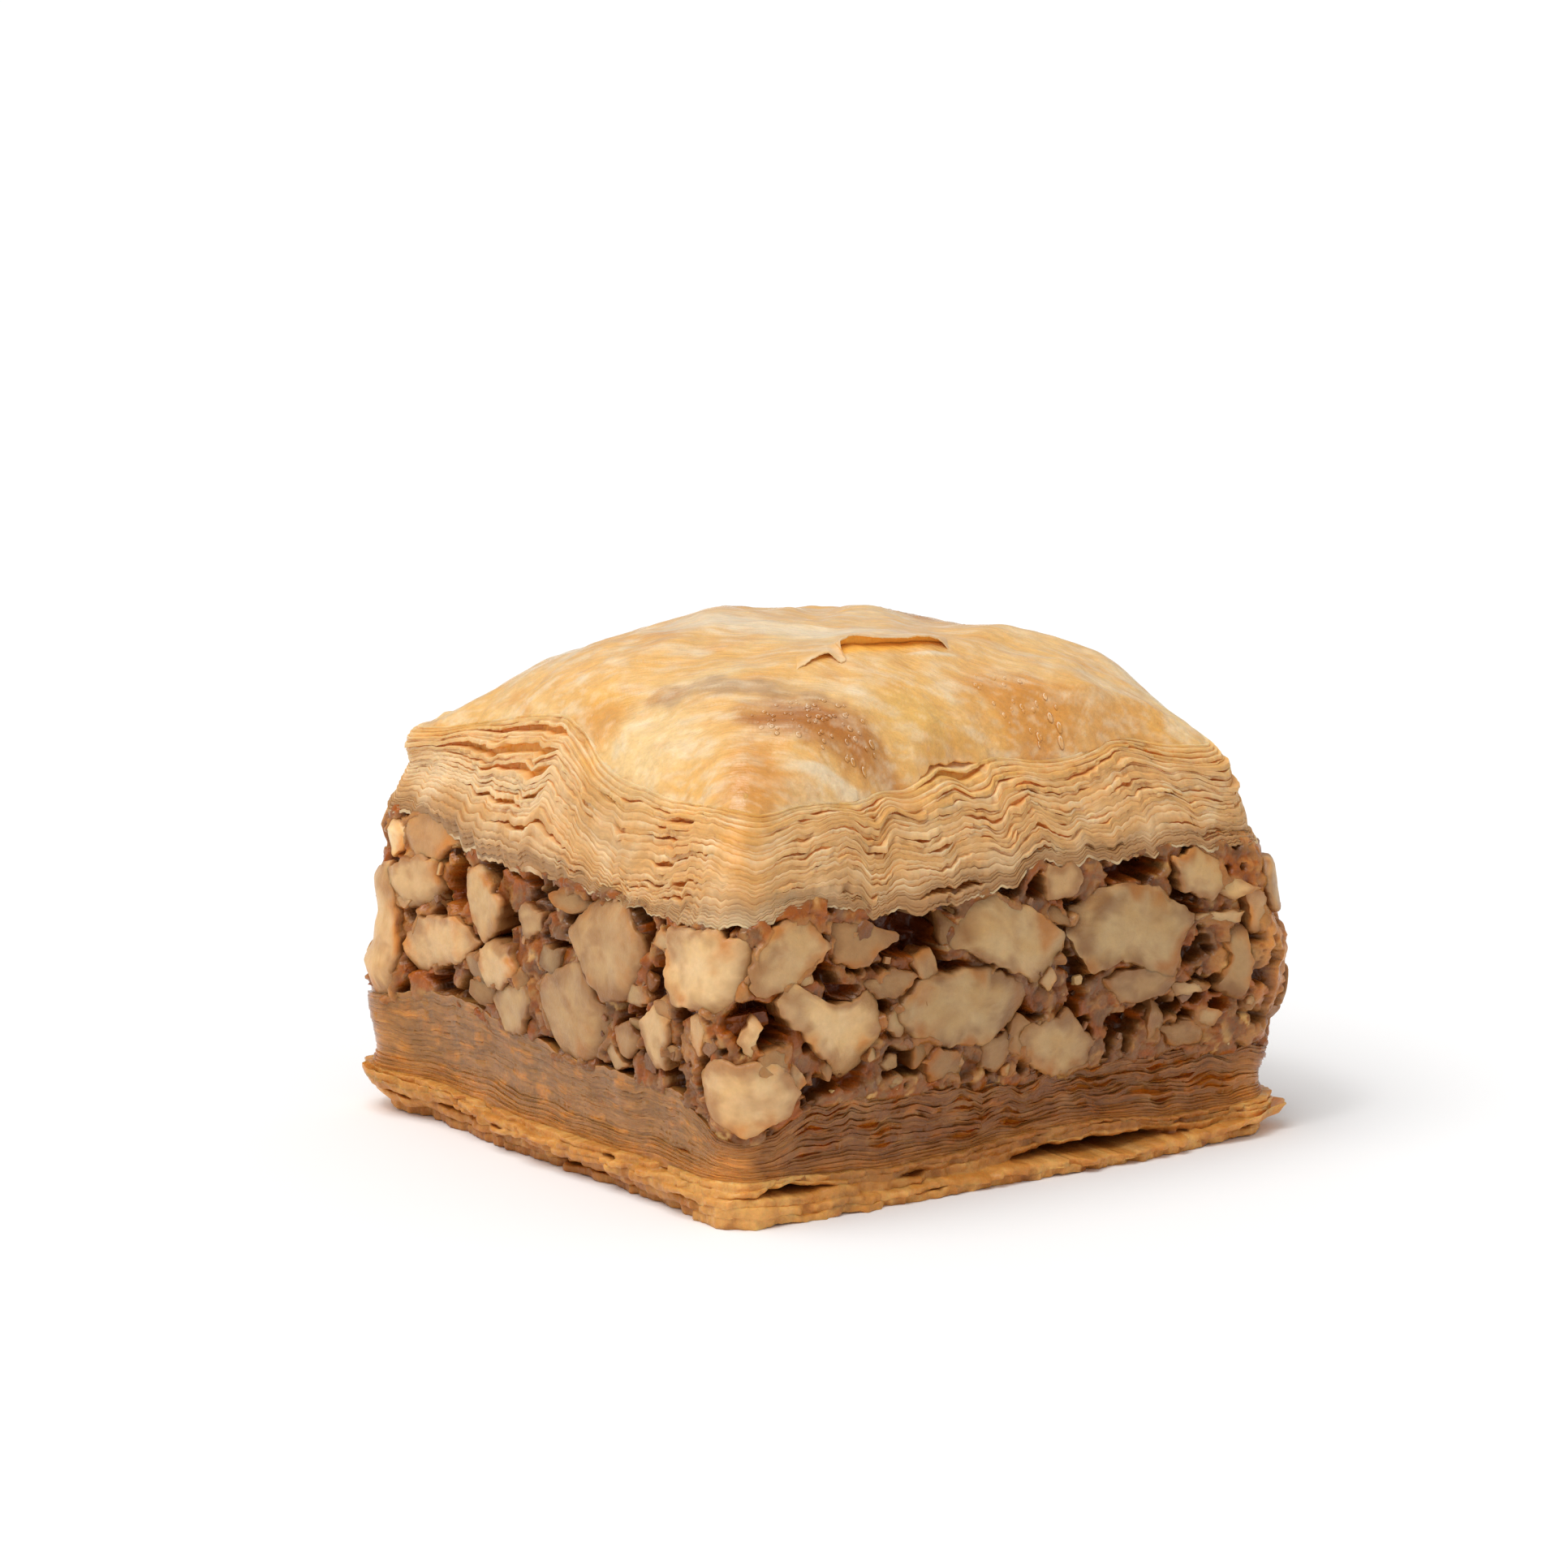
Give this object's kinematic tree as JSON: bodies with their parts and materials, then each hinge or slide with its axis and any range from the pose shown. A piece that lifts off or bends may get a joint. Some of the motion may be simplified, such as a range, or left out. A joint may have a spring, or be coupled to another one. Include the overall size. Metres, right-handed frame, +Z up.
{
  "type": "baklava piece",
  "caption": "Square-cut piece of layered pastry: a pressed, soaked filo base, a thick bed of chopped walnuts, and a puffed, domed stack of filo on top.",
  "frame": {"origin": "middle of the piece's box in plan, at the level of the surface that it rests on", "axes": "+Z up through the layers; -Y and -X look out of the two cut faces that meet at the pressed-down near corner"},
  "size_m": [0.0538, 0.0498, 0.0394],
  "materials": {
    "soaked_filo": "thin pressed filo sheets soaked brown with syrup and butter, glossy, with lighter golden crust sheets at the very bottom",
    "walnut_filling": "chopped walnuts with cream-coloured cut faces and brown skins in a sticky mauve-brown paste of finer nuts and syrup, with dark glossy hollows",
    "baked_filo": "pale golden baked filo, papery and lightly glazed with syrup, darker amber where it is soaked through"
  },
  "bodies": {
    "root": {"bottom_pastry": "soaked_filo", "walnut_filling": "walnut_filling", "top_pastry": "baked_filo"}
  },
  "joints": []
}
